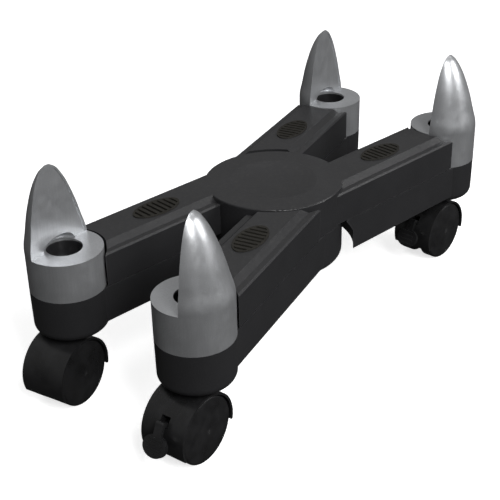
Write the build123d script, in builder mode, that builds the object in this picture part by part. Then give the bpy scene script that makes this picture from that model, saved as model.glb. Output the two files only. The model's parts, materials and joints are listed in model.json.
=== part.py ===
"""Rolling CPU holder: two crossed arms on a centre pivot, with a swivelling fin post over a
twin-wheel caster at each end.  Millimetres, +Z up.

The origin is on the floor, under the middle of the footprint.  The upper arm runs from the
front left post to the rear right post and carries the dished disc.  The lower arm runs from
the front right post to the rear left post and carries the drum that the disc turns on.
"""
import os
from math import atan2, cos, degrees, radians, sin, sqrt

from build123d import *

os.makedirs("parts", exist_ok=True)

# ---------------------------------------------------------------- driving dimensions
post_radius = 22.0             # silver caps and the round ends of the arms
post_x = 46.0                  # post axes, from the pivot
post_y = 137.0
pivot_y = 11.5                 # pivot axis, from the middle of the footprint
arm_turn = 9.9                 # each arm's own axis, off the Y axis

wheel_radius = 20.0
post_bottom = 44.2
drum_bottom = 44.9
arm_bottom = 48.0
seam = 70.6                    # parting plane between housings and covers
arm_top = 94.4                 # also the caps' ledge
fin_height = 50.4              # above the ledge

arm_half = 18.9                # half width over the arm's walls
ledge_half = 14.3              # foot of the slope beside the raised top
plateau_half = 11.0            # half width of the raised flat top
shoulder_drop = 3.1            # raised top above the side ledges
disc_radius = 43.0
cover_gap_radius = 45.8        # hub ends of the lower arm's covers
housing_gap_radius = 46.8      # hub ends of the upper arm's housings, at the seam
housing_notch_radius = 50.4    # and lower down
housing_notch_height = 61.4
wall = 2.4
groove = 0.8                   # parting groove just over the seam
edge_round = 0.9
layer_gap = 0.3                # between the upper arm's layer and the lower arm's
post_gap = 1.4                 # between a cap and the end of its cover

# ---------------------------------------------------------------- places
CORNERS = {
    "front_left": (-1, -1),
    "front_right": (1, -1),
    "rear_left": (-1, 1),
    "rear_right": (1, 1),
}
UPPER_ARM = ("front_left", "rear_right")
LOWER_ARM = ("front_right", "rear_left")
hub_reach = post_x * sin(radians(arm_turn)) + post_y * cos(radians(arm_turn))
pivot = (0, pivot_y)


def post_point(corner):
    """Post axis in plan."""
    side, end = CORNERS[corner]
    return (side * post_x, pivot_y + end * post_y)


def arm_place(corner):
    """Place in plan with the post as origin and X along the arm towards the hub."""
    side, end = CORNERS[corner]
    angle = -end * (90 + side * arm_turn)
    return Location((*post_point(corner), 0), (0, 0, angle))


def arm_strips(corners, half_width, mode=Mode.ADD):
    """Plan of the arms' straight boxes, from the post to abeam of the pivot."""
    for corner in corners:
        with Locations(arm_place(corner)):
            Rectangle(hub_reach, 2 * half_width, align=(Align.MIN, Align.CENTER), mode=mode)


def post_circles(corners, radius, mode=Mode.ADD):
    """A circle about each post axis."""
    with Locations([post_point(corner) for corner in corners]):
        Circle(radius, mode=mode)


def hub_circle(radius, mode=Mode.ADD):
    """A circle about the pivot axis."""
    with Locations(pivot):
        Circle(radius, mode=mode)


def hub_ring_cut(radius):
    """Take away everything nearer to the pivot than the radius."""
    hub_circle(radius, mode=Mode.SUBTRACT)


def save(piece, name):
    """Label a finished piece and write its STEP file."""
    piece.label = name
    export_step(piece, f"parts/{name}.step")


# ---------------------------------------------------------------- ribbed pads' seats
pad_length = 33.0
pad_width = 17.4
pad_from_post = 66.5           # pad centre, along the arm from the post axis
pad_seat_depth = 1.4
pad_stand = 0.6                # rib tops above the arm's top
pad_fit = 0.1
pad_rib_pitch = 3.8
pad_rib_count = 8
pad_groove = 1.7
pad_groove_depth = 1.2
pad_rim = 1.2                  # plain border round the grooves

# ---------------------------------------------------------------- screws and their tubes
tube_radius = 3.6
screw_radius = 1.5
screw_head_radius = 2.9
screw_head_height = 1.8
screw_recess = 9.0             # head seat above the arm's underside
screw_reach = 12.0             # screw hole above the seam
screw_cross = 3.2              # cross recess in the head
screw_cross_width = 0.8
screw_cross_depth = 1.0
hole_ease = 0.2                # radial clearance of through holes
screw_stations = (34.0, 92.0)  # along the arm from the post axis

column_radius = 9.0            # centre column of a post
column_shoulder = 77.4         # the cap's floor rests just over it
spigot_radius = 7.0
spigot_top = 80.8
cap_screw_radius = 2.0
cap_screw_length = 11.0

hub_boss_radius = 10.0
bush_bore = 5.05
bush_radius = 7.0
bolt_radius = 5.0
bolt_head_radius = 8.5
bolt_head_height = 5.0
thrust_height = 1.2
hub_seat = 67.4                # top of the drum's boss
drum_boss_foot = 54.4          # bolt head's washer bears up against it


def screw_points(corners):
    """Plan places of the housing screws of one arm."""
    places = []
    for corner in corners:
        places += [arm_place(corner) * Location((station, 0, 0)) for station in screw_stations]
    return places


# ---------------------------------------------------------------- covers
def cover(corners, with_disc):
    """Upper shell of one or both ends of an arm, open below."""
    shoulder = arm_top - shoulder_drop
    with BuildPart() as shell:
        with BuildSketch(Plane.XY.offset(seam)):
            arm_strips(corners, arm_half - groove)
        extrude(amount=groove)
        with BuildSketch(Plane.XY.offset(seam + groove)):
            arm_strips(corners, arm_half)
        extrude(amount=shoulder - seam - groove - edge_round)
        with BuildSketch(Plane.XY.offset(shoulder - edge_round)):
            arm_strips(corners, arm_half)
        extrude(amount=edge_round, taper=45)
        with BuildSketch(Plane.XY.offset(shoulder)):
            arm_strips(corners, ledge_half)
        slope = Vector(0, 1).get_angle(Vector(ledge_half - plateau_half, shoulder_drop))
        extrude(amount=shoulder_drop, taper=slope)
        if with_disc:
            with BuildSketch(Plane.XZ.offset(-pivot_y)):
                with BuildLine():
                    Polyline((0, seam), (disc_radius, seam), (disc_radius, arm_top - edge_round))
                    RadiusArc(
                        (disc_radius, arm_top - edge_round),
                        (disc_radius - edge_round, arm_top),
                        -edge_round,
                    )
                    Polyline((disc_radius - edge_round, arm_top), (0, arm_top), (0, seam))
                make_face()
            revolve(axis=Axis((0, pivot_y, 0), (0, 0, 1)))

        # round ends beside the caps, and beside the disc
        with BuildSketch(Plane.XY.offset(seam)):
            post_circles(corners, post_radius + post_gap)
            if not with_disc:
                hub_circle(cover_gap_radius)
        extrude(amount=arm_top - seam, mode=Mode.SUBTRACT)

        # hollow inside
        with BuildSketch(Plane.XY.offset(seam)):
            arm_strips(corners, arm_half - wall)
            if with_disc:
                hub_circle(disc_radius - wall)
            post_circles(corners, post_radius + post_gap + wall, mode=Mode.SUBTRACT)
            if not with_disc:
                hub_ring_cut(cover_gap_radius + wall)
        extrude(amount=shoulder - wall - seam, mode=Mode.SUBTRACT)
        with BuildSketch(Plane.XY.offset(shoulder - wall)):
            arm_strips(corners, plateau_half - 1)
            post_circles(corners, post_radius + post_gap + wall, mode=Mode.SUBTRACT)
            hub_ring_cut(cover_gap_radius + wall)
        extrude(amount=shoulder_drop - pad_seat_depth, mode=Mode.SUBTRACT)

        # tubes for the housing screws
        with BuildSketch(Plane.XY.offset(seam)):
            with Locations(screw_points(corners)):
                Circle(tube_radius)
        extrude(amount=shoulder - seam)
        if with_disc:
            with BuildSketch(Plane.XY.offset(hub_seat + thrust_height)):
                hub_circle(hub_boss_radius)
            extrude(amount=shoulder - hub_seat - thrust_height)
        with BuildSketch(Plane.XY.offset(seam)):
            with Locations(screw_points(corners)):
                Circle(screw_radius)
        extrude(amount=screw_reach, mode=Mode.SUBTRACT)

        # seats for the pads
        with BuildSketch(Plane.XY.offset(arm_top - pad_seat_depth)):
            for corner in corners:
                with Locations(arm_place(corner) * Location((pad_from_post, 0, 0))):
                    Ellipse(pad_length / 2, pad_width / 2)
        extrude(amount=pad_seat_depth, mode=Mode.SUBTRACT)
    return shell


dish_radius = 27.0
dish_depth = 2.8
dish_sphere = (dish_radius**2 + dish_depth**2) / (2 * dish_depth)
insert_radius = 6.5
insert_length = 12.0
insert_foot = hub_seat + thrust_height + 2

disc_cover = cover(UPPER_ARM, with_disc=True)
with BuildPart() as upper_arm_cover:
    add(disc_cover.part)
    # shallow dish in the middle of the disc
    with Locations((0, pivot_y, arm_top - dish_depth + dish_sphere)):
        Sphere(dish_sphere, mode=Mode.SUBTRACT)
    # pocket of the pivot's threaded insert, and the bolt's way in
    with BuildSketch(Plane.XY.offset(insert_foot)):
        with Locations(pivot):
            RegularPolygon(insert_radius, 6)
    extrude(amount=insert_length, mode=Mode.SUBTRACT)
    with BuildSketch(Plane.XY.offset(hub_seat)):
        hub_circle(bolt_radius + hole_ease)
    extrude(amount=insert_foot - hub_seat, mode=Mode.SUBTRACT)
save(upper_arm_cover.part, "upper_arm_cover")

for end, corner in (("front", "front_right"), ("rear", "rear_left")):
    lower_cover = cover((corner,), with_disc=False)
    save(lower_cover.part, f"lower_arm_{end}_cover")


# ---------------------------------------------------------------- housings
post_taper = 0.25              # the post's round end narrows this much downwards
post_round = 5.0
sleeve_radius = 6.0
sleeve_length = 23.0
drum_round = 4.0
screw_tube_wall = 1.6
hub_rib_count = 6
hub_rib_width = 2.0
hub_web_top = hub_seat - 8     # ribs round the hub's boss


def post_base(corner):
    """Round end of a housing: outer drum with a soft lower edge, narrowing downwards."""
    x, y = post_point(corner)
    foot = post_radius - post_taper
    with BuildPart() as base:
        with BuildSketch(Plane((x, y, 0), x_dir=(1, 0, 0), z_dir=(0, -1, 0))):
            with BuildLine():
                Polyline((0, seam), (post_radius, seam), (foot, post_bottom + post_round))
                RadiusArc((foot, post_bottom + post_round), (foot - post_round, post_bottom), post_round)
                Polyline((foot - post_round, post_bottom), (0, post_bottom), (0, seam))
            make_face()
        revolve(axis=Axis((x, y, 0), (0, 0, 1)))
    return base.part


def housing(corners, with_drum):
    """Lower tray of one or both ends of an arm, open above."""
    bases = [post_base(corner) for corner in corners]
    with BuildPart() as tray:
        # straight boxes, with softened lower edges
        with BuildSketch(Plane.XY.offset(arm_bottom + edge_round)):
            arm_strips(corners, arm_half)
        extrude(amount=seam - arm_bottom - edge_round)
        with BuildSketch(Plane.XY.offset(arm_bottom + edge_round)):
            arm_strips(corners, arm_half)
        extrude(amount=-edge_round, taper=45)
        if with_drum:
            with BuildSketch(Plane.XZ.offset(-pivot_y)):
                with BuildLine():
                    Polyline((0, seam), (disc_radius, seam), (disc_radius, drum_bottom + drum_round))
                    RadiusArc(
                        (disc_radius, drum_bottom + drum_round),
                        (disc_radius - drum_round, drum_bottom),
                        drum_round,
                    )
                    Polyline((disc_radius - drum_round, drum_bottom), (0, drum_bottom), (0, seam))
                make_face()
            revolve(axis=Axis((0, pivot_y, 0), (0, 0, 1)))
        else:
            # the ends stand clear of the drum, further off low down
            with BuildSketch(Plane.XY.offset(arm_bottom)):
                hub_circle(housing_notch_radius)
            extrude(amount=housing_notch_height - arm_bottom, mode=Mode.SUBTRACT)
            with BuildSketch(Plane.XY.offset(housing_notch_height)):
                hub_circle(housing_notch_radius)
            with BuildSketch(Plane.XY.offset(seam)):
                hub_circle(housing_gap_radius)
            loft(mode=Mode.SUBTRACT)
        add(bases)

        # hollow inside, with a floor
        with BuildSketch(Plane.XY.offset(arm_bottom + wall)):
            arm_strips(corners, arm_half - wall)
            if with_drum:
                hub_circle(disc_radius - wall)
            else:
                hub_ring_cut(housing_notch_radius + wall)
            post_circles(corners, post_radius - wall)
        extrude(amount=seam - arm_bottom - wall, mode=Mode.SUBTRACT)

        # columns, screw tubes and the hub's boss stand on the floor
        with BuildSketch(Plane.XY.offset(arm_bottom)):
            post_circles(corners, column_radius)
        extrude(amount=column_shoulder - arm_bottom)
        with BuildSketch(Plane.XY.offset(column_shoulder)):
            post_circles(corners, spigot_radius)
        extrude(amount=spigot_top - column_shoulder)
        with BuildSketch(Plane.XY.offset(arm_bottom)):
            with Locations(screw_points(corners)):
                Circle(screw_head_radius + screw_tube_wall)
        extrude(amount=seam - arm_bottom)
        if with_drum:
            with BuildSketch(Plane.XY.offset(arm_bottom)):
                hub_circle(hub_boss_radius + 3)
                with Locations(pivot):
                    with PolarLocations(0, hub_rib_count, start_angle=30):
                        Rectangle(disc_radius - 1, hub_rib_width, align=(Align.MIN, Align.CENTER))
            extrude(amount=hub_web_top - arm_bottom)
            with BuildSketch(Plane.XY.offset(arm_bottom)):
                hub_circle(hub_boss_radius)
            extrude(amount=hub_seat - arm_bottom)

        # bores
        with BuildSketch(Plane.XY.offset(post_bottom)):
            post_circles(corners, sleeve_radius)
        extrude(amount=sleeve_length, mode=Mode.SUBTRACT)
        with BuildSketch(Plane.XY.offset(spigot_top)):
            post_circles(corners, cap_screw_radius)
        extrude(amount=-cap_screw_length, mode=Mode.SUBTRACT)
        with BuildSketch(Plane.XY.offset(arm_bottom)):
            with Locations(screw_points(corners)):
                Circle(screw_head_radius + hole_ease)
        extrude(amount=screw_recess, mode=Mode.SUBTRACT)
        with BuildSketch(Plane.XY.offset(arm_bottom)):
            with Locations(screw_points(corners)):
                Circle(screw_radius + hole_ease)
        extrude(amount=seam - arm_bottom, mode=Mode.SUBTRACT)
        if with_drum:
            with BuildSketch(Plane.XY.offset(drum_bottom)):
                hub_circle(bolt_head_radius + 1.5)
            extrude(amount=drum_boss_foot - drum_bottom, mode=Mode.SUBTRACT)
            with BuildSketch(Plane.XY.offset(drum_boss_foot)):
                hub_circle(bush_radius)
            extrude(amount=hub_seat - drum_boss_foot, mode=Mode.SUBTRACT)
            # the upper arm sweeps over this circle
            with BuildSketch(Plane.XY.offset(seam - layer_gap)):
                hub_circle(cover_gap_radius)
            extrude(amount=layer_gap, mode=Mode.SUBTRACT)
    return tray


for end, corner in (("front", "front_left"), ("rear", "rear_right")):
    upper_housing = housing((corner,), with_drum=False)
    save(upper_housing.part, f"upper_arm_{end}_housing")

lower_arm_housing = housing(LOWER_ARM, with_drum=True)
save(lower_arm_housing.part, "lower_arm_housing")


# ---------------------------------------------------------------- housing screws
def housing_screws(corners):
    """Pan-head screws up through the housing into the cover's tubes."""
    head_seat = arm_bottom + screw_recess
    with BuildPart() as screws:
        with BuildSketch(Plane.XY.offset(head_seat - screw_head_height)):
            with Locations(screw_points(corners)):
                Circle(screw_head_radius)
        extrude(amount=screw_head_height)
        with BuildSketch(Plane.XY.offset(head_seat)):
            with Locations(screw_points(corners)):
                Circle(screw_radius)
        extrude(amount=seam + screw_reach - 1 - head_seat)
        with BuildSketch(Plane.XY.offset(head_seat - screw_head_height)):
            with Locations(screw_points(corners)):
                Rectangle(screw_cross, screw_cross_width)
                Rectangle(screw_cross_width, screw_cross)
        extrude(amount=screw_cross_depth, mode=Mode.SUBTRACT)
    return screws


save(housing_screws(UPPER_ARM).part, "upper_arm_housing_screws")
save(housing_screws(LOWER_ARM).part, "lower_arm_housing_screws")

# ---------------------------------------------------------------- centre pivot
washer_height = 1.2
spring_height = 1.4
spring_split = 0.8

with BuildPart() as pivot_bush:
    with BuildSketch(Plane.XY.offset(drum_boss_foot)):
        hub_circle(bush_radius)
        hub_circle(bush_bore, mode=Mode.SUBTRACT)
    extrude(amount=hub_seat - drum_boss_foot)
save(pivot_bush.part, "pivot_bush")

with BuildPart() as pivot_thrust_washer:
    with BuildSketch(Plane.XY.offset(hub_seat)):
        hub_circle(hub_boss_radius)
        hub_circle(bush_bore, mode=Mode.SUBTRACT)
    extrude(amount=thrust_height)
save(pivot_thrust_washer.part, "pivot_thrust_washer")

with BuildPart() as pivot_washer:
    with BuildSketch(Plane.XY.offset(drum_boss_foot - washer_height)):
        hub_circle(bolt_head_radius + 1)
        hub_circle(bush_bore, mode=Mode.SUBTRACT)
    extrude(amount=washer_height)
save(pivot_washer.part, "pivot_washer")

with BuildPart() as pivot_spring_washer:
    with BuildSketch(Plane.XY.offset(drum_boss_foot - washer_height - spring_height)):
        hub_circle(bolt_head_radius)
        hub_circle(bush_bore + 0.4, mode=Mode.SUBTRACT)
        with Locations((bolt_head_radius - 2, pivot_y)):
            Rectangle(bolt_head_radius, spring_split, mode=Mode.SUBTRACT)
    extrude(amount=spring_height)
save(pivot_spring_washer.part, "pivot_spring_washer")

bolt_head_top = drum_boss_foot - washer_height - spring_height
with BuildPart() as pivot_bolt:
    with BuildSketch(Plane.XY.offset(bolt_head_top - bolt_head_height)):
        with Locations(pivot):
            RegularPolygon(bolt_head_radius, 6)
    extrude(amount=bolt_head_height)
    with BuildSketch(Plane.XY.offset(bolt_head_top)):
        hub_circle(bolt_radius)
    extrude(amount=insert_foot + insert_length - 1 - bolt_head_top)
save(pivot_bolt.part, "pivot_bolt")

with BuildPart() as pivot_insert:
    with BuildSketch(Plane.XY.offset(insert_foot)):
        with Locations(pivot):
            RegularPolygon(insert_radius, 6)
        hub_circle(bolt_radius, mode=Mode.SUBTRACT)
    extrude(amount=insert_length)
save(pivot_insert.part, "pivot_insert")


# ---------------------------------------------------------------- fin caps
fin_face = 3.3                 # flat face of the fin, outwards of the post axis
fin_fullness = 1.115           # exponents of the fin's outline
fin_bluntness = 0.471
fin_lean = 0.062               # the fin leans to the front, per unit of height
hole_radius = 10.4
hole_floor = 80.6
cap_floor = 3.0
scoop_radius = 12.6
scoop_height = 6.5
rim_width = 1.5
rim_depth = 0.5
rim_foot = 0.8                 # foot of the rim's recess above the ledge
cap_lift = 0.3                 # cap's lower rim above the housing
spigot_fit = 0.06
cap_turn = {"front_left": 0, "front_right": 190, "rear_left": 1, "rear_right": 174}


def fin_half_chord(height):
    """Half width of the fin's flat face at a height over the ledge."""
    full = sqrt(post_radius**2 - fin_face**2)
    return full * (1 - (height / fin_height) ** fin_fullness) ** fin_bluntness


def fin_radius(height):
    """Radius of the fin's rounded back at a height over the ledge."""
    return sqrt(fin_half_chord(height) ** 2 + fin_face**2)


def fin_heights(top, count=9):
    """Heights over the ledge, closer together towards the tip."""
    return [top * (1 - (1 - step / count) ** 2) for step in range(1, count)]


with BuildPart() as upright_fin:
    # rounded back, turned about the post axis
    with BuildSketch(Plane.XZ):
        with BuildLine():
            Line((0, arm_top), (post_radius, arm_top))
            Spline(
                (post_radius, arm_top),
                *[(fin_radius(h), arm_top + h) for h in fin_heights(fin_height)],
                (fin_face, arm_top + fin_height),
                tangents=((0, 1), (-1, 0)),
            )
            Polyline((fin_face, arm_top + fin_height), (0, arm_top + fin_height), (0, arm_top))
        make_face()
    revolve(axis=Axis.Z)
    # flat face towards the computer
    with BuildSketch(Plane.XY.offset(arm_top)):
        with Locations((-fin_face, 0)):
            Rectangle(post_radius * 2, post_radius * 3, align=(Align.MIN, Align.CENTER))
    extrude(amount=fin_height + 1, mode=Mode.SUBTRACT)
    # thin rim round the flat face
    with BuildSketch(Plane((-fin_face, 0, arm_top), x_dir=(0, 1, 0), z_dir=(1, 0, 0))):
        with BuildLine():
            inner_top = fin_height - 2.5 * rim_width
            inner_heights = [rim_foot, *fin_heights(inner_top)]
            left = [(-fin_half_chord(h) + rim_width, h) for h in inner_heights]
            right = [(-y, z) for y, z in reversed(left)]
            Spline(*left, (0, inner_top), *right)
            Line(right[-1], left[0])
        make_face()
    extrude(amount=-rim_depth, mode=Mode.SUBTRACT)


def fin_cap(lean):
    """Cap with its fin leaning along Y by a part of the height."""
    shear = Matrix([[1, 0, 0, 0], [0, 1, lean, -lean * arm_top], [0, 0, 1, 0]])
    leaning_fin = upright_fin.part.transform_geometry(shear)
    with BuildPart() as cap:
        with BuildSketch(Plane.XY.offset(seam + cap_lift)):
            Circle(post_radius)
        extrude(amount=arm_top - seam - cap_lift)
        add(leaning_fin)
        # hollow under the ledge, leaving the tube round the screw
        with BuildSketch(Plane.XY.offset(seam + cap_lift)):
            Circle(post_radius - wall)
        extrude(amount=arm_top - wall - seam - cap_lift, mode=Mode.SUBTRACT)
        with BuildSketch(Plane.XY.offset(hole_floor - cap_floor)):
            Circle(hole_radius + wall)
        extrude(amount=arm_top - hole_floor + cap_floor)
        # hole for the screw, with a scoop up the flat face
        with BuildSketch(Plane.XY.offset(hole_floor)):
            Circle(hole_radius)
        extrude(amount=arm_top - hole_floor, mode=Mode.SUBTRACT)
        with BuildSketch(Plane.XZ):
            with BuildLine():
                EllipticalCenterArc((0, arm_top), scoop_radius, scoop_height, 0, arc_size=90)
                Polyline((0, arm_top + scoop_height), (0, arm_top), (scoop_radius, arm_top))
            make_face()
        revolve(axis=Axis.Z, mode=Mode.SUBTRACT)
        with BuildSketch(Plane.XY.offset(hole_floor - cap_floor)):
            Circle(spigot_radius + spigot_fit)
        extrude(amount=cap_floor, mode=Mode.SUBTRACT)
    return cap


left_cap = fin_cap(-fin_lean)
right_cap = fin_cap(fin_lean)
for corner in CORNERS:
    hand = left_cap if corner.endswith("left") else right_cap
    placed = hand.part.moved(Location((*post_point(corner), 0), (0, 0, cap_turn[corner])))
    save(placed, f"cap_{corner}")


# ---------------------------------------------------------------- cap screws and washers
cap_washer_radius = 9.0
cap_washer_height = 1.0
cap_head_radius = 4.5
cap_head_height = 3.0
cap_head_chamfer = 0.8
cap_cross = 5.2                # cross recess in the head
cap_cross_width = 1.1
cap_cross_depth = 1.8


def cap_washers(corners):
    """Broad washers on the spigots that hold the caps down but let them turn."""
    with BuildPart() as washers:
        with BuildSketch(Plane.XY.offset(spigot_top)):
            post_circles(corners, cap_washer_radius)
            post_circles(corners, cap_screw_radius + hole_ease, mode=Mode.SUBTRACT)
        extrude(amount=cap_washer_height)
    return washers


def cap_screws(corners):
    """Cross-head screws down the caps' holes into the spigots."""
    head_foot = spigot_top + cap_washer_height
    with BuildPart() as screws:
        with BuildSketch(Plane.XY.offset(head_foot)):
            post_circles(corners, cap_head_radius)
        extrude(amount=cap_head_height)
        chamfer(screws.faces().group_by(Axis.Z)[-1].edges(), cap_head_chamfer)
        with BuildSketch(Plane.XY.offset(head_foot)):
            post_circles(corners, cap_screw_radius)
        extrude(amount=-cap_screw_length)
        with BuildSketch(Plane.XY.offset(head_foot + cap_head_height)):
            with Locations([post_point(corner) for corner in corners]):
                Rectangle(cap_cross, cap_cross_width)
                Rectangle(cap_cross_width, cap_cross)
        extrude(amount=-cap_cross_depth, mode=Mode.SUBTRACT)
    return screws


for arm, corners in (("upper", UPPER_ARM), ("lower", LOWER_ARM)):
    save(cap_washers(corners).part, f"{arm}_arm_cap_washers")
    save(cap_screws(corners).part, f"{arm}_arm_cap_screws")

# ---------------------------------------------------------------- ribbed pads
with BuildPart() as pad:
    with BuildSketch(Plane.XY.offset(arm_top - pad_seat_depth)):
        Ellipse(pad_length / 2 - pad_fit, pad_width / 2 - pad_fit)
    extrude(amount=pad_seat_depth + pad_stand)
    with BuildSketch(Plane.XY.offset(arm_top + pad_stand)):
        with GridLocations(pad_rib_pitch, 0, pad_rib_count, 1):
            Rectangle(pad_groove, pad_width)
        Ellipse(pad_length / 2 - pad_rim, pad_width / 2 - pad_rim, mode=Mode.INTERSECT)
    extrude(amount=-pad_groove_depth, mode=Mode.SUBTRACT)

for corner in CORNERS:
    placed = pad.part.moved(arm_place(corner) * Location((pad_from_post, 0, 0)))
    save(placed, f"pad_{corner}")

# ---------------------------------------------------------------- casters
# Made with the stem on the Z axis, the axle along X and the closed side of the hood at -Y.
caster_turn = {"front_left": 6.0, "front_right": 0.0, "rear_left": 4.0, "rear_right": -4.8}
trail = 10.3                   # axle forward of the stem
hood_radius = 21.7
well_radius = 20.35            # wheel wells in the hood
hood_half = 14.2
wheel_half = 14.5              # half width over the wheels' outer faces
web_half = 4.9                 # body between the wheels
hood_open_angle = -13          # open side ends a little under axle height
hood_lip_angle = 202           # closed side goes on past the bottom quarter
web_root = 8.0                 # round the axle
neck_radius = 6.4
neck_top = 42.6
pin_radius = 3.0
pin_foot = 28.0
pin_fit = 0.08
collar_radius = 7.0
collar_foot = neck_top + 0.3
stem_radius = 4.0
stem_top = 64.0
grip_radius = 4.3
grip_height = 3.0
grip_foot = stem_top - 2 * grip_height
stem_chamfer = 0.8
axle_radius = 2.0
axle_half = 11.1
axle_fit = 0.06
small_chamfer = 0.4
axle_plane = Plane((0, -trail, wheel_radius), x_dir=(0, 1, 0), z_dir=(1, 0, 0))

# brake lever, in the axle plane: across is along Y, up is along Z
lever_hinge = (-11.6, 5.8)
lever_bend = (-21.4, 12.2)
lever_slope = 63.0             # tongue below the horizontal
lever_tongue = 18.5
lever_thick = 2.4
lever_neck_half = 2.4
lever_eye = 3.2                # round the cam shaft
lever_travel = 18.0
paddle_half = 7.6
paddle_length = 12.5
slot_half = 2.9
slot_reach = 18.0
slot_ease = 0.45               # between the slot's ends and the lever
cam_shaft_radius = 1.6
cam_shaft_half = 8.4
cam_reach = 4.0
cam_thick = 2.6
cam_gap = 1.2                  # from the web to a cam
tread_pitch = 2.8              # ridges across the paddle
tread_count = 4
tread_width = 1.0
tread_height = 0.5
cam_angle = degrees(atan2(lever_hinge[1], lever_hinge[0]))
neck_angle = degrees(atan2(lever_bend[1] - lever_hinge[1], lever_bend[0] - lever_hinge[0]))


def ring_sector(radius, inner, start, stop):
    """Part ring about the sketch origin, from the open side over the top."""
    with BuildLine() as outline:
        CenterArc((0, 0), radius, start, stop - start)
        CenterArc((0, 0), inner, start, stop - start)
        for turn in (radians(start), radians(stop)):
            Line((inner * cos(turn), inner * sin(turn)), (radius * cos(turn), radius * sin(turn)))
    make_face(outline.edges())


def caster_hood(braked):
    """Hood, web and stem neck in one piece."""
    with BuildPart() as hood:
        with BuildSketch(axle_plane):
            ring_sector(hood_radius, web_root - 1, hood_open_angle, hood_lip_angle)
            Circle(web_root)
        extrude(amount=hood_half, both=True)
        with BuildSketch(Plane.XY.offset(neck_top)):
            Circle(neck_radius)
        extrude(amount=pin_foot - neck_top)
        # one wheel well each side of the web
        for side in (1, -1):
            with BuildSketch(axle_plane.offset(side * web_half)):
                Circle(well_radius)
            extrude(amount=side * hood_half, mode=Mode.SUBTRACT)
        with BuildSketch(Plane.XY.offset(neck_top)):
            Circle(pin_radius + pin_fit)
        extrude(amount=pin_foot - 1 - neck_top, mode=Mode.SUBTRACT)
        with BuildSketch(axle_plane):
            Circle(axle_radius)
        extrude(amount=web_half, both=True, mode=Mode.SUBTRACT)
        if braked:
            with BuildSketch(axle_plane):
                with Locations(lever_hinge):
                    Circle(cam_shaft_radius + axle_fit)
            extrude(amount=web_half, both=True, mode=Mode.SUBTRACT)
            # slot that the lever's neck swings in
            with BuildSketch(axle_plane):
                with Locations(lever_hinge):
                    Circle(lever_eye + slot_ease)
                sweep = [neck_angle - lever_travel * step / 3 for step in range(4)]
                for angle in sweep:
                    with Locations(Location((*lever_hinge, 0), (0, 0, angle))):
                        slot_width = lever_thick + 2 * slot_ease
                        Rectangle(slot_reach, slot_width, align=(Align.MIN, Align.CENTER))
            extrude(amount=slot_half, both=True, mode=Mode.SUBTRACT)
    return hood


with BuildPart() as caster_axle:
    with BuildSketch(axle_plane):
        Circle(axle_radius)
    extrude(amount=axle_half, both=True)
    chamfer(caster_axle.faces().filter_by(Axis.X).edges(), small_chamfer)

wheel_inner = web_half + 0.6
rim_wall = 2.4
bearing_radius = 5.0
bearing_foot = axle_half - 0.8
disc_foot = axle_half - 1.6    # inside of the wheel's face at the rim
shoulder_foot = wheel_half - 2.6
wheel_crown = 1.0              # domed face
crown_foot = wheel_half - wheel_crown
tread_round = 1.7              # soft edge between the tread and the face
face_radius = wheel_radius - tread_round
crown_radius = (face_radius**2 + wheel_crown**2) / (2 * wheel_crown)
bore_end = axle_half + 0.6
with BuildPart() as wheel:
    # half section beside the axle: radius across, distance from the middle up
    with BuildSketch(Plane((0, -trail, wheel_radius), x_dir=(0, 0, 1), z_dir=(0, 1, 0))):
        with BuildLine():
            Polyline(
                (0, bore_end),
                (axle_radius + axle_fit, bore_end),
                (axle_radius + axle_fit, wheel_inner),
                (bearing_radius, wheel_inner),
                (bearing_radius, bearing_foot),
                (wheel_radius - rim_wall, disc_foot),
                (wheel_radius - rim_wall, wheel_inner),
                (wheel_radius, wheel_inner),
                (wheel_radius, shoulder_foot),
            )
            RadiusArc((wheel_radius, shoulder_foot), (face_radius, crown_foot), -tread_round)
            RadiusArc((face_radius, crown_foot), (0, wheel_half), -crown_radius)
            Line((0, wheel_half), (0, bore_end))
        make_face()
    revolve(axis=Axis((0, -trail, wheel_radius), (1, 0, 0)))

with BuildPart() as caster_stem:
    with BuildSketch(Plane.XZ):
        with BuildLine():
            Polyline(
                (0, pin_foot),
                (pin_radius, pin_foot),
                (pin_radius, collar_foot),
                (collar_radius, collar_foot),
                (collar_radius, post_bottom),
                (stem_radius, post_bottom),
                (stem_radius, grip_foot),
                (grip_radius, grip_foot + small_chamfer),
                (grip_radius, grip_foot + grip_height - small_chamfer),
                (stem_radius, grip_foot + grip_height),
                (stem_radius, stem_top - stem_chamfer),
                (stem_radius - stem_chamfer, stem_top),
                (0, stem_top),
                (0, pin_foot),
            )
        make_face()
    revolve(axis=Axis.Z)

with BuildPart() as stem_sleeve:
    with BuildSketch(Plane.XY.offset(post_bottom)):
        Circle(sleeve_radius)
        Circle(grip_radius, mode=Mode.SUBTRACT)
    extrude(amount=sleeve_length)

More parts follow.
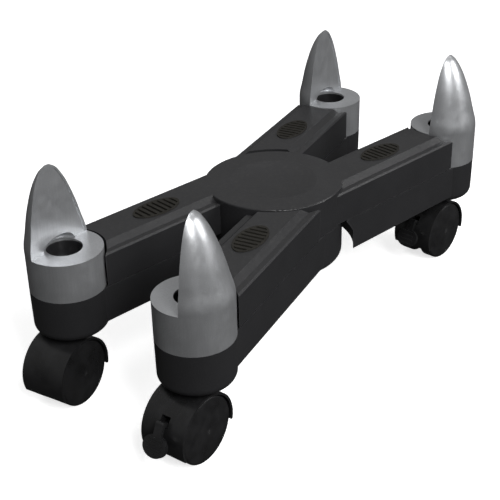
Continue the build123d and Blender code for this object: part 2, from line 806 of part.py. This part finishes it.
tongue_turn = 180 + lever_slope
tongue_plane = Plane(
    axle_plane.from_local_coords(Vector(*lever_bend)),
    x_dir=(0, cos(radians(tongue_turn)), sin(radians(tongue_turn))),
    z_dir=(0, -sin(radians(lever_slope)), cos(radians(lever_slope))),
)
with BuildPart() as brake_lever:
    # eye and neck out of the slot, then the tongue down along the hood
    with BuildSketch(axle_plane):
        with BuildLine():
            Line(lever_hinge, lever_bend)
        trace(line_width=lever_thick)
        with Locations(lever_bend):
            Circle(lever_thick / 2)
        with Locations(lever_hinge):
            Circle(lever_eye)
            Circle(cam_shaft_radius, mode=Mode.SUBTRACT)
    extrude(amount=lever_neck_half, both=True)
    with BuildSketch(tongue_plane):
        neck_length = lever_tongue - paddle_length / 2
        Rectangle(neck_length, 2 * lever_neck_half, align=(Align.MIN, Align.CENTER))
        with Locations((neck_length, 0)):
            Ellipse(paddle_length / 2, paddle_half)
    extrude(amount=lever_thick / 2, both=True)
    with BuildSketch(tongue_plane.offset(lever_thick / 2)):
        with Locations((neck_length, 0)):
            with GridLocations(tread_pitch, 0, tread_count, 1):
                Rectangle(tread_width, 2 * paddle_half - 6)
    extrude(amount=tread_height)

with BuildPart() as brake_cam:
    with BuildSketch(axle_plane):
        with Locations(lever_hinge):
            Circle(cam_shaft_radius)
    extrude(amount=cam_shaft_half, both=True)
    # cams beside the web that press on the inside of the wheels' rims
    for side in (1, -1):
        with BuildSketch(axle_plane.offset(side * (web_half + cam_gap))):
            with Locations(Location((*lever_hinge, 0), (0, 0, cam_angle))):
                Rectangle(cam_reach, cam_thick, align=(Align.MIN, Align.CENTER))
        extrude(amount=side * (cam_shaft_half - web_half - cam_gap))


def caster_place(corner):
    """The caster's place under its post, turned to its heading."""
    return Location((*post_point(corner), 0), (0, 0, caster_turn[corner]))


BRAKED = ("front_right", "rear_right")
plain_hood = caster_hood(braked=False)
braked_hood = caster_hood(braked=True)
for corner in CORNERS:
    place = caster_place(corner)
    body = braked_hood if corner in BRAKED else plain_hood
    save(body.part.moved(place), f"caster_{corner}_hood")
    save(caster_axle.part.moved(place), f"caster_{corner}_axle")
    save(caster_stem.part.moved(place), f"caster_{corner}_stem")
    save(stem_sleeve.part.moved(place), f"caster_{corner}_sleeve")
    save(wheel.part.moved(place), f"caster_{corner}_right_wheel")
    half_turn = place * Location((0, -2 * trail, 0), (0, 0, 180))
    save(wheel.part.moved(half_turn), f"caster_{corner}_left_wheel")
    if corner in BRAKED:
        save(brake_lever.part.moved(place), f"caster_{corner}_brake_lever")
        save(brake_cam.part.moved(place), f"caster_{corner}_brake_cam")
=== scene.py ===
"""Looks of the rolling CPU holder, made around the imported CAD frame.  Metres, +Z up.

The CAD pieces keep their own shapes and places.  This script softens their edges, gives each
piece its material, and sets up the floor, the lights and the camera.
"""
import json
import math

import bpy
from mathutils import Matrix, Vector

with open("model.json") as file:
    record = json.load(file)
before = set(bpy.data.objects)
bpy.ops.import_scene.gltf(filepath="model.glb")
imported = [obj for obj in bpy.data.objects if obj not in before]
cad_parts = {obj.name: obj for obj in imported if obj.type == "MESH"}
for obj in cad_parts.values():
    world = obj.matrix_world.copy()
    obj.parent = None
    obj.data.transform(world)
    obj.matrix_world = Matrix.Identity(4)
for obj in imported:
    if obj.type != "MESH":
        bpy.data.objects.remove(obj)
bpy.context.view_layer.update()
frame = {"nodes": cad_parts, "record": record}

MM = 0.001


# ---------------------------------------------------------------- material building blocks
COLOUR_A, COLOUR_B = 6, 7      # places of the colour sockets among a Mix node's inputs
COLOUR_RESULT = 2              # and of the colour among its outputs
NOISE_LOW, NOISE_HIGH = 0.3, 0.7       # where most of a noise's values lie
EDGE_START, EDGE_FULL = 0.995, 0.88    # cosine of the turn where an edge begins and is complete
BEVEL_SAMPLES = 4


class Shader:
    """A node material with one Principled shader, and short calls that add to it."""

    def __init__(self, name, base, metallic=0.0, specular=0.5, coat=0.0):
        self.material = bpy.data.materials.new(name)
        self.material.use_nodes = True
        self.tree = self.material.node_tree
        self.bsdf = self.tree.nodes["Principled BSDF"]
        self.set("Base Color", (*base, 1))
        self.set("Metallic", metallic)
        self.set("Specular IOR Level", specular)
        self.set("Coat Weight", coat)
        self.base = base
        self.coords = self.tree.nodes.new("ShaderNodeTexCoord").outputs["Object"]

    def set(self, socket, value):
        """A value that is the same all over the surface."""
        self.bsdf.inputs[socket].default_value = value

    def link(self, output, socket):
        self.tree.links.new(output, socket)

    def node(self, kind, **inputs):
        """A node with some of its inputs linked or set; an underscore stands for a space."""
        made = self.tree.nodes.new("ShaderNode" + kind)
        for name, value in inputs.items():
            socket = made.inputs[name.replace("_", " ")]
            if isinstance(value, bpy.types.NodeSocket):
                self.link(value, socket)
            else:
                socket.default_value = value
        return made

    def math(self, operation, a, b=0.0):
        """The output of one arithmetic node."""
        made = self.tree.nodes.new("ShaderNodeMath")
        made.operation = operation
        for socket, value in zip(made.inputs, (a, b)):
            if isinstance(value, bpy.types.NodeSocket):
                self.link(value, socket)
            else:
                socket.default_value = value
        return made.outputs[0]

    def noise(self, size, detail=3.0, stretch=(1, 1, 1)):
        """Noise from 0 to 1 whose features are about size across, longer along stretched axes."""
        scale = tuple(1 / (size * s) for s in stretch)
        mapping = self.node("Mapping", Vector=self.coords, Scale=scale)
        return self.node("TexNoise", Vector=mapping.outputs[0], Scale=1.0, Detail=detail).outputs[0]

    def spread(self, value, low, high, to_low=0.0, to_high=1.0):
        """Maps low..high to to_low..to_high, smoothly and within those limits."""
        made = self.node("MapRange", Value=value)
        made.interpolation_type = "SMOOTHSTEP"
        limits = {"From Min": low, "From Max": high, "To Min": to_low, "To Max": to_high}
        for name, number in limits.items():
            made.inputs[name].default_value = number
        return made.outputs[0]

    def level(self, noise, to_low=0.0, to_high=1.0):
        """Stretches the middle of a noise's range over to_low..to_high."""
        return self.spread(noise, NOISE_LOW, NOISE_HIGH, to_low, to_high)

    def mix(self, factor, a, b):
        """Colour a where factor is 0 and b where it is 1."""
        made = self.tree.nodes.new("ShaderNodeMix")
        made.data_type = "RGBA"
        sockets = (made.inputs["Factor"], made.inputs[COLOUR_A], made.inputs[COLOUR_B])
        for socket, value in zip(sockets, (factor, a, b)):
            if isinstance(value, bpy.types.NodeSocket):
                self.link(value, socket)
            else:
                socket.default_value = value if isinstance(value, float) else (*value, 1)
        return made.outputs[COLOUR_RESULT]

    def edges(self, radius):
        """About 1 on edges sharper than the radius, and 0 on flat surface."""
        soft = self.node("Bevel", Radius=radius)
        soft.samples = BEVEL_SAMPLES
        hard = self.tree.nodes.new("ShaderNodeNewGeometry").outputs["Normal"]
        dot = self.tree.nodes.new("ShaderNodeVectorMath")
        dot.operation = "DOT_PRODUCT"
        self.link(soft.outputs[0], dot.inputs[0])
        self.link(hard, dot.inputs[1])
        return self.spread(dot.outputs["Value"], EDGE_START, EDGE_FULL)

    def upward(self):
        """1 on faces that look straight up, 0 on walls and undersides."""
        normal = self.tree.nodes.new("ShaderNodeNewGeometry").outputs["Normal"]
        split = self.node("SeparateXYZ", Vector=normal)
        return self.spread(split.outputs["Z"], 0.2, 1.0)

    def colour(self, output):
        self.link(output, self.bsdf.inputs["Base Color"])

    def rough(self, output):
        self.link(output, self.bsdf.inputs["Roughness"])

    def bump(self, *layers):
        """Each layer is (height from 0 to 1, depth in metres)."""
        normal = None
        for height, depth in layers:
            made = self.node("Bump", Height=height, Strength=1.0, Distance=depth)
            if normal is not None:
                self.link(normal, made.inputs["Normal"])
            normal = made.outputs[0]
        self.link(normal, self.bsdf.inputs["Normal"])


def shade(colour, factor):
    """The colour made lighter or darker."""
    return tuple(min(1.0, c * factor) for c in colour)


POST_X = 46 * MM               # posts' axes either side of the middle
POST_Y = 137 * MM              # and in front of and behind the pivot
PIVOT_Y = 11.5 * MM
HOLE_DARK = 10.5 * MM          # distance from the post's axis within which the hole is all dark
HOLE_CLEAR = 11.1 * MM         # and beyond which nothing is
DEPTH_DARK = 92.8 * MM         # height below which the hole is all dark
DEPTH_CLEAR = 93.9 * MM        # and above which nothing is
# near-black painted shade for the insides of the caps' screw holes
HOLE_PAINTED_SHADE = (0.012, 0.012, 0.013)


def painted_hole_shade_mask(s):
    """1 on the walls and floors of the caps' screw holes, which get painted shade, 0 elsewhere."""
    axes = s.node("SeparateXYZ", Vector=s.coords)
    across = s.math("SUBTRACT", s.math("ABSOLUTE", axes.outputs["X"]), POST_X)
    from_pivot = s.math("SUBTRACT", axes.outputs["Y"], PIVOT_Y)
    along = s.math("SUBTRACT", s.math("ABSOLUTE", from_pivot), POST_Y)
    square = s.math("ADD", s.math("MULTIPLY", across, across), s.math("MULTIPLY", along, along))
    distance = s.math("SQRT", square)
    inside = s.spread(distance, HOLE_DARK, HOLE_CLEAR, 1.0, 0.0)
    below = s.spread(axes.outputs["Z"], DEPTH_DARK, DEPTH_CLEAR, 1.0, 0.0)
    return s.math("MULTIPLY", inside, below)


def silver_lacquer():
    """Satin metallic paint on the fin caps: fine flakes, faint upright flow marks, rubbed edges.

    The screw holes in the caps are painted near-black and not metallic, as painted shade.
    """
    metallic = 0.78
    s = Shader("silver_lacquer", (0.52, 0.53, 0.545), metallic=metallic, coat=0.08)
    s.set("Coat Roughness", 0.25)
    flakes = s.noise(0.45 * MM, 2)
    flow = s.noise(1.1 * MM, 3, stretch=(1, 1, 16))
    cloud = s.noise(14 * MM, 3)
    edge_wear_and_highlight = s.math("MULTIPLY", s.edges(0.5 * MM), s.spread(s.noise(5 * MM, 4), 0.35, 0.75))
    tone = s.mix(s.level(cloud), shade(s.base, 0.95), shade(s.base, 1.05))
    tone = s.mix(s.level(flow, 0.0, 0.45), tone, shade(s.base, 0.86))
    tone = s.mix(s.spread(flakes, 0.5, 0.8, 0.0, 0.5), tone, shade(s.base, 1.3))
    tone = s.mix(s.math("MULTIPLY", edge_wear_and_highlight, 0.6), tone, shade(s.base, 1.35))
    # painted shade: the insides of the screw holes turn near-black and lose their metal
    shaded_hole = painted_hole_shade_mask(s)
    tone = s.mix(shaded_hole, tone, HOLE_PAINTED_SHADE)
    s.colour(tone)
    s.link(s.spread(shaded_hole, 0.0, 1.0, metallic, 0.0), s.bsdf.inputs["Metallic"])
    rough = s.level(s.noise(6 * MM, 4), 0.33, 0.41)
    s.rough(s.math("ADD", rough, s.level(flow, -0.02, 0.03)))
    s.bump((flow, 0.010 * MM), (flakes, 0.012 * MM))
    return s.material


DUST = (0.12, 0.115, 0.105)


def moulded_black():
    """Matte charcoal plastic of the arms: spark-eroded grain, faint flow, polished edges lightened as a
    painted highlight, light dust.
    """
    s = Shader("moulded_black", (0.0185, 0.0185, 0.0197), specular=0.45)
    grain = s.noise(0.55 * MM, 3)
    pits = s.node("TexVoronoi", Vector=s.coords, Scale=1 / (0.9 * MM)).outputs["Distance"]
    cloud = s.noise(30 * MM, 4)
    # edges: some wear, and mostly a painted highlight along the rims and ledges
    edge_wear_and_highlight = s.math("MULTIPLY", s.edges(0.5 * MM), s.level(s.noise(7 * MM, 4), 0.3, 1.0))
    tone = s.mix(s.level(cloud), shade(s.base, 0.95), shade(s.base, 1.06))
    tone = s.mix(s.spread(grain, 0.45, 0.8, 0.0, 0.6), tone, shade(s.base, 1.5))
    dust = s.math("MULTIPLY", s.upward(), s.spread(s.noise(2.2 * MM, 5), 0.48, 0.8, 0.0, 0.12))
    tone = s.mix(dust, tone, DUST)
    # painted highlight: the edges are mixed towards a colour 3.6 times lighter than the plastic
    tone = s.mix(s.math("MULTIPLY", edge_wear_and_highlight, 0.6), tone, shade(s.base, 3.6))
    s.colour(tone)
    rough = s.level(s.noise(11 * MM, 5), 0.37, 0.42)
    s.rough(s.math("SUBTRACT", rough, s.math("MULTIPLY", edge_wear_and_highlight, 0.14)))
    s.bump((pits, 0.02 * MM), (grain, 0.035 * MM))
    return s.material


def caster_nylon():
    """Semi-gloss black nylon of the casters, with scuffs."""
    s = Shader("caster_nylon", (0.011, 0.011, 0.0115))
    ripple = s.noise(2.6 * MM, 3)
    fine = s.noise(0.5 * MM, 2)
    scuff = s.spread(s.noise(1.3 * MM, 5, stretch=(1, 1, 3)), 0.6, 0.75)
    cloud = s.noise(9 * MM, 3)
    edge_wear_and_highlight = s.edges(0.4 * MM)
    tone = s.mix(s.level(cloud), shade(s.base, 0.8), shade(s.base, 1.3))
    tone = s.mix(s.math("MULTIPLY", scuff, 0.25), tone, shade(s.base, 1.8))
    tone = s.mix(s.math("MULTIPLY", edge_wear_and_highlight, 0.4), tone, shade(s.base, 2.4))
    s.colour(tone)
    rough = s.level(cloud, 0.26, 0.36)
    s.rough(s.math("ADD", rough, s.math("MULTIPLY", scuff, 0.12)))
    s.bump((ripple, 0.008 * MM), (fine, 0.010 * MM))
    return s.material


def ribbed_rubber():
    """Dark brown-black rubber of the pads, dusty on its ribs."""
    s = Shader("ribbed_rubber", (0.020, 0.0185, 0.0155), specular=0.2)
    grain = s.noise(0.4 * MM, 3)
    cloud = s.noise(5 * MM, 4)
    tone = s.mix(s.level(cloud), shade(s.base, 0.8), shade(s.base, 1.2))
    tone = s.mix(s.math("MULTIPLY", s.edges(0.3 * MM), 0.4), tone, shade(s.base, 2.0))
    s.colour(tone)
    s.rough(s.level(cloud, 0.62, 0.76))
    s.bump((grain, 0.03 * MM))
    return s.material


def metal(name, base, roughness, brushed):
    """Plated or turned metal; brushed is the size of its fine marks."""
    s = Shader(name, base, metallic=1.0)
    marks = s.noise(brushed, 4, stretch=(1, 1, 8))
    cloud = s.noise(4 * MM, 4)
    tone = s.mix(s.level(cloud), shade(base, 0.85), shade(base, 1.1))
    tone = s.mix(s.math("MULTIPLY", s.edges(0.3 * MM), 0.5), tone, shade(base, 1.3))
    s.colour(tone)
    s.rough(s.level(marks, roughness - 0.06, roughness + 0.1))
    s.bump((marks, 0.008 * MM))
    return s.material


def acetal():
    """Natural white bearing plastic."""
    s = Shader("acetal", (0.72, 0.71, 0.67))
    s.set("Subsurface Weight", 0.1)
    s.set("Subsurface Radius", (0.002, 0.002, 0.002))
    cloud = s.noise(3 * MM, 4)
    s.colour(s.mix(s.level(cloud), shade(s.base, 0.92), s.base))
    s.rough(s.level(cloud, 0.35, 0.48))
    s.bump((s.noise(0.5 * MM, 2), 0.01 * MM))
    return s.material


# ---------------------------------------------------------------- CAD pieces
SHARP = math.radians(35)       # an edge that turns by more than this is rounded
EDGE_SEGMENTS = 2


def soften(piece, width):
    """Rounds the sharp edges of a CAD piece."""
    bevel = piece.modifiers.new("soft edges", "BEVEL")
    bevel.width = width
    bevel.segments = EDGE_SEGMENTS
    bevel.limit_method = "ANGLE"
    bevel.angle_limit = SHARP
    bevel.use_clamp_overlap = True
    bevel.harden_normals = False


def dress(piece, material):
    """Gives every slot of a piece one material."""
    piece.data.materials.clear()
    piece.data.materials.append(material)


FINISHES = {
    "silver_finish": silver_lacquer(),
    "black_plastic": moulded_black(),
    "caster_nylon": caster_nylon(),
    "pad_rubber": ribbed_rubber(),
    "steel": metal("zinc_steel", (0.55, 0.55, 0.56), 0.3, 0.4 * MM),
    "brass": metal("turned_brass", (0.72, 0.52, 0.22), 0.28, 0.3 * MM),
    "white_plastic": acetal(),
}
SOFT_EDGES = {
    "silver_finish": 0.35 * MM,
    "black_plastic": 0.4 * MM,
    "caster_nylon": 0.3 * MM,
    "pad_rubber": 0.12 * MM,
    "steel": 0.12 * MM,
}
for part in frame["record"]["subparts"]:
    piece = frame["nodes"][part["node"]]
    dress(piece, FINISHES[part["material_slot"]])
    if part["material_slot"] in SOFT_EDGES:
        soften(piece, SOFT_EDGES[part["material_slot"]])


# ---------------------------------------------------------------- floor, lights, camera
def pale_floor():
    """A plain white stage material, with a little light of its own."""
    s = Shader("pale_floor", (0.86, 0.86, 0.86))
    s.set("Roughness", 0.9)
    s.set("Emission Color", (1, 1, 1, 1))
    s.set("Emission Strength", 0.72)
    return s.material


STAGE_RADIUS = 6
STAGE_WALL = 12                # height of the round wall, half of it below the floor
STAGE_SIDES = 64


def stage_piece(name, material):
    """Makes the active object a stage piece that sends no light back to the holder."""
    made = bpy.context.object
    made.name = name
    made.data.materials.append(material)
    made.visible_diffuse = False
    made.visible_glossy = False
    return made


def floor():
    """Pale floor, and a pale round wall far behind it."""
    material = pale_floor()
    bpy.ops.mesh.primitive_circle_add(radius=STAGE_RADIUS, vertices=STAGE_SIDES, fill_type="NGON")
    stage_piece("floor", material)
    bpy.ops.mesh.primitive_cylinder_add(
        radius=STAGE_RADIUS, depth=STAGE_WALL, vertices=STAGE_SIDES, end_fill_type="NOTHING"
    )
    wall = stage_piece("backdrop", material)
    wall.visible_shadow = False


def area_light(name, place, size, watts):
    """A soft white rectangular light aimed at the middle of the holder."""
    data = bpy.data.lights.new(name, "AREA")
    data.shape = "RECTANGLE"
    data.size, data.size_y = size
    data.energy = watts
    made = bpy.data.objects.new(name, data)
    bpy.context.scene.collection.objects.link(made)
    aim = (MIDDLE - place).to_track_quat("-Z", "Y")
    made.matrix_world = Matrix.Translation(place) @ aim.to_matrix().to_4x4()


CAMERA_AZIMUTH = 36.8          # round from the front, towards the right
CAMERA_ELEVATION = 28.9
CAMERA_ROLL = -1.4
CAMERA_DISTANCE = 0.70
CAMERA_TARGET = Vector((-0.0081, -0.0038, 0.0484))
LENS = 79.3
SENSOR = 36


def camera_axes(azimuth, elevation, roll):
    """Right, up and forward of a camera that looks down from the azimuth and elevation."""
    a, e, r = (math.radians(v) for v in (azimuth, elevation, roll))
    forward = Vector((-math.sin(a) * math.cos(e), math.cos(a) * math.cos(e), -math.sin(e)))
    level = Vector((math.cos(a), math.sin(a), 0))
    upright = level.cross(forward)
    right = math.cos(r) * level + math.sin(r) * upright
    up = -math.sin(r) * level + math.cos(r) * upright
    return right, up, forward


def camera():
    """The scene's camera, at the photograph's angle."""
    right, up, forward = camera_axes(CAMERA_AZIMUTH, CAMERA_ELEVATION, CAMERA_ROLL)
    data = bpy.data.cameras.new("camera")
    data.lens = LENS
    data.sensor_width = SENSOR
    data.clip_start = 0.01
    made = bpy.data.objects.new("camera", data)
    bpy.context.scene.collection.objects.link(made)
    turn = Matrix((right, up, -forward)).transposed().to_4x4()
    made.matrix_world = Matrix.Translation(CAMERA_TARGET - CAMERA_DISTANCE * forward) @ turn
    bpy.context.scene.camera = made


def around(azimuth, elevation, distance):
    """A point round the object: azimuth 0 is in front, 90 to its right."""
    a, e = math.radians(azimuth), math.radians(elevation)
    return Vector((math.sin(a) * math.cos(e), -math.cos(a) * math.cos(e), math.sin(e))) * distance


MIDDLE = Vector((0, 0, 0.06))
LIGHTS = (                     # name, azimuth, elevation, distance, size and watts
    ("key", 60, 44, 1.5, (0.4, 0.8), 16),
    ("side", 118, 28, 1.4, (0.7, 0.7), 9),
    ("back", 200, 55, 1.6, (1.4, 0.6), 1),
)
SKY_BELOW, SKY_ABOVE = -0.5, 0.8       # sine of the height where the sky is darkest and brightest
SKY_DARKEST, SKY_BRIGHTEST = 0.03, 0.3


def studio_sky():
    """A white sky that gets brighter upwards."""
    world = bpy.data.worlds.new("studio")
    world.use_nodes = True
    nodes = world.node_tree.nodes
    links = world.node_tree.links
    height = nodes.new("ShaderNodeSeparateXYZ")
    links.new(nodes.new("ShaderNodeTexCoord").outputs["Generated"], height.inputs[0])
    glow = nodes.new("ShaderNodeMapRange")
    glow.interpolation_type = "SMOOTHSTEP"
    glow.inputs["From Min"].default_value = SKY_BELOW
    glow.inputs["From Max"].default_value = SKY_ABOVE
    glow.inputs["To Min"].default_value = SKY_DARKEST
    glow.inputs["To Max"].default_value = SKY_BRIGHTEST
    links.new(height.outputs["Z"], glow.inputs["Value"])
    background = nodes["Background"]
    background.inputs["Color"].default_value = (1, 1, 1, 1)
    links.new(glow.outputs[0], background.inputs["Strength"])
    bpy.context.scene.world = world


floor()
camera()
for name, azimuth, elevation, distance, size, watts in LIGHTS:
    area_light(name, around(azimuth, elevation, distance), size, watts)
studio_sky()
scene = bpy.context.scene
scene.view_settings.view_transform = "Standard"
scene.cycles.use_denoising = True

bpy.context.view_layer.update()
